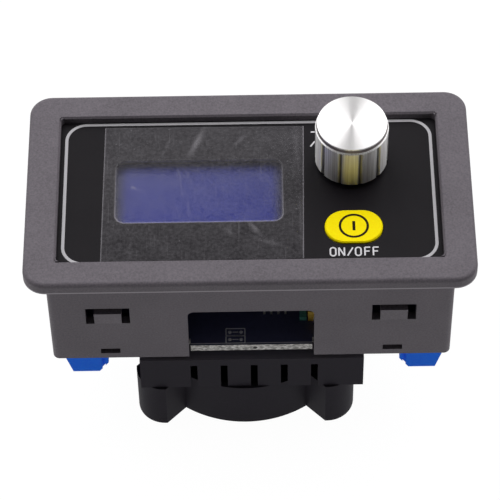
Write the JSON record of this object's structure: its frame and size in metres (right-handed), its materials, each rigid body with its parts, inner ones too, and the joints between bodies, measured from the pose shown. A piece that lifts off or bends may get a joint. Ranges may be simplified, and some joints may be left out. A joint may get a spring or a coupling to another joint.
{
  "type": "dc electronic load",
  "caption": "Panel-mount DC electronic load: grey bezel case with blue display, turn-and-press knob, on/off key, screw terminals, finned heat sink and cooling fan.",
  "frame": {"origin": "middle of the overall box at the height of the fan's rear face, on which the part stands", "axes": "+X to the right along the front panel, +Y up the front panel, +Z out of the front panel"},
  "size_m": [0.079, 0.043, 0.0542],
  "materials": {
    "grey_abs": "fine matt moulded texture",
    "black_film": "printed polycarbonate film, fine matt",
    "clear_pane": "clear acrylic",
    "clear_film": "clear peel-off film, wrinkled",
    "display_glass": "blue negative display glass",
    "white_diffuser": "milky",
    "contact_rubber": "layered conductive rubber",
    "blue_laminate": "solder-resist over glass laminate",
    "plated_steel": "nickel plated",
    "brass_plated": "nickel plated brass",
    "black_nylon": "moulded",
    "spun_aluminium": "lathe turned, clear anodised",
    "yellow_plastic": "satin moulded",
    "white_plastic": "moulded",
    "chip_epoxy": "moulded epoxy",
    "pad_silicone": "soft silicone pad",
    "black_anodised": "black anodised extrusion",
    "shunt_alloy": "bare resistance alloy",
    "can_aluminium": "drawn can",
    "tantalum_epoxy": "moulded epoxy",
    "green_epoxy": "clear tinted epoxy",
    "blue_nylon": "moulded",
    "tinned_brass": "tin plated",
    "black_fan_plastic": "glass filled, moulded",
    "magnet_rubber": "bonded ferrite",
    "sintered_bronze": "sintered, oiled",
    "core_steel": "stacked laminations",
    "copper_winding": "enamelled copper wire",
    "black_steel": "black oxide",
    "black_lead": "vinyl insulation",
    "red_lead": "vinyl insulation"
  },
  "bodies": {
    "module": {"housing_shell": "grey_abs", "front_overlay": "black_film", "display_window": "clear_pane", "protective_film": "clear_film", "lcd_glass": "display_glass", "lcd_backlight": "white_diffuser", "zebra_strip": "contact_rubber", "display_board": "blue_laminate", "display_board_screws": "plated_steel", "encoder_body": "plated_steel", "encoder_bushing": "brass_plated", "key_switch_body": "black_nylon", "control_chip": "chip_epoxy", "board_header": "black_nylon", "board_socket": "black_nylon", "main_board": "blue_laminate", "power_transistor": "chip_epoxy", "thermal_pad": "pad_silicone", "heatsink": "black_anodised", "heatsink_spacers": "brass_plated", "heatsink_screws": "plated_steel", "shunt_resistor": "shunt_alloy", "supply_capacitor": "can_aluminium", "tantalum_capacitor": "tantalum_epoxy", "status_led": "green_epoxy", "amplifier_chip": "chip_epoxy", "regulator": "chip_epoxy", "load_terminal_housing": "blue_nylon", "load_terminal_contacts": "tinned_brass", "supply_terminal_housing": "blue_nylon", "supply_terminal_contacts": "tinned_brass", "fan_frame": "black_fan_plastic", "fan_bearing": "sintered_bronze", "stator_core": "core_steel", "stator_coils": "copper_winding", "motor_board": "blue_laminate", "fan_screws": "black_steel", "fan_lead_black": "black_lead", "fan_lead_red": "red_lead"},
    "encoder_core": {"encoder_rotor": "black_nylon"},
    "knob": {"knob": "spun_aluminium", "knob_insert": "black_nylon", "encoder_shaft": "spun_aluminium"},
    "key": {"on_off_key": "yellow_plastic", "key_switch_plunger": "white_plastic"},
    "fan_wheel": {"fan_rotor": "black_fan_plastic", "rotor_magnet": "magnet_rubber", "fan_shaft": "plated_steel"},
    "load_screw_a": {"load_screw_a": "plated_steel"},
    "load_clamp_a": {"load_clamp_a": "plated_steel"},
    "load_screw_b": {"load_screw_b": "plated_steel"},
    "load_clamp_b": {"load_clamp_b": "plated_steel"},
    "supply_screw_a": {"supply_screw_a": "plated_steel"},
    "supply_clamp_a": {"supply_clamp_a": "plated_steel"},
    "supply_screw_b": {"supply_screw_b": "plated_steel"},
    "supply_clamp_b": {"supply_clamp_b": "plated_steel"}
  },
  "joints": [
    {"name": "knob_turn", "type": "hinge", "parent": "module", "child": "encoder_core", "pos_m": [0.0183, 0.0066, 0.0385], "axis": [0, 0, 1], "continuous": true},
    {"name": "knob_press", "type": "slide", "parent": "encoder_core", "child": "knob", "axis": [0, 0, -1], "range_m": [0, 0.0005], "stiffness_N_per_m": 2000},
    {"name": "key_press", "type": "slide", "parent": "module", "child": "key", "axis": [0, 0, -1], "range_m": [0, 0.00025], "stiffness_N_per_m": 3000},
    {"name": "fan_spin", "type": "hinge", "parent": "module", "child": "fan_wheel", "pos_m": [-0.0012, 0, 0.005], "axis": [0, 0, 1], "continuous": true},
    {"name": "load_screw_a_turn", "type": "hinge", "parent": "module", "child": "load_screw_a", "pos_m": [-0.03027, -0.01374, 0.0129], "axis": [0, 0, 1], "range_deg": [0, 1296]},
    {"name": "load_clamp_a_slide", "type": "slide", "parent": "module", "child": "load_clamp_a", "axis": [0, 0, -1], "range_m": [0, 0.0018]},
    {"name": "load_screw_b_turn", "type": "hinge", "parent": "module", "child": "load_screw_b", "pos_m": [-0.03027, -0.00866, 0.0129], "axis": [0, 0, 1], "range_deg": [0, 1296]},
    {"name": "load_clamp_b_slide", "type": "slide", "parent": "module", "child": "load_clamp_b", "axis": [0, 0, -1], "range_m": [0, 0.0018]},
    {"name": "supply_screw_a_turn", "type": "hinge", "parent": "module", "child": "supply_screw_a", "pos_m": [0.03107, -0.01374, 0.0129], "axis": [0, 0, 1], "range_deg": [0, 1296]},
    {"name": "supply_clamp_a_slide", "type": "slide", "parent": "module", "child": "supply_clamp_a", "axis": [0, 0, -1], "range_m": [0, 0.0018]},
    {"name": "supply_screw_b_turn", "type": "hinge", "parent": "module", "child": "supply_screw_b", "pos_m": [0.03107, -0.00866, 0.0129], "axis": [0, 0, 1], "range_deg": [0, 1296]},
    {"name": "supply_clamp_b_slide", "type": "slide", "parent": "module", "child": "supply_clamp_b", "axis": [0, 0, -1], "range_m": [0, 0.0018]}
  ],
  "couplings": [
    {"joint": "load_screw_a_turn", "follows": "load_clamp_a_slide", "rad_per_m": 12566},
    {"joint": "load_screw_b_turn", "follows": "load_clamp_b_slide", "rad_per_m": 12566},
    {"joint": "supply_screw_a_turn", "follows": "supply_clamp_a_slide", "rad_per_m": 12566},
    {"joint": "supply_screw_b_turn", "follows": "supply_clamp_b_slide", "rad_per_m": 12566}
  ]
}
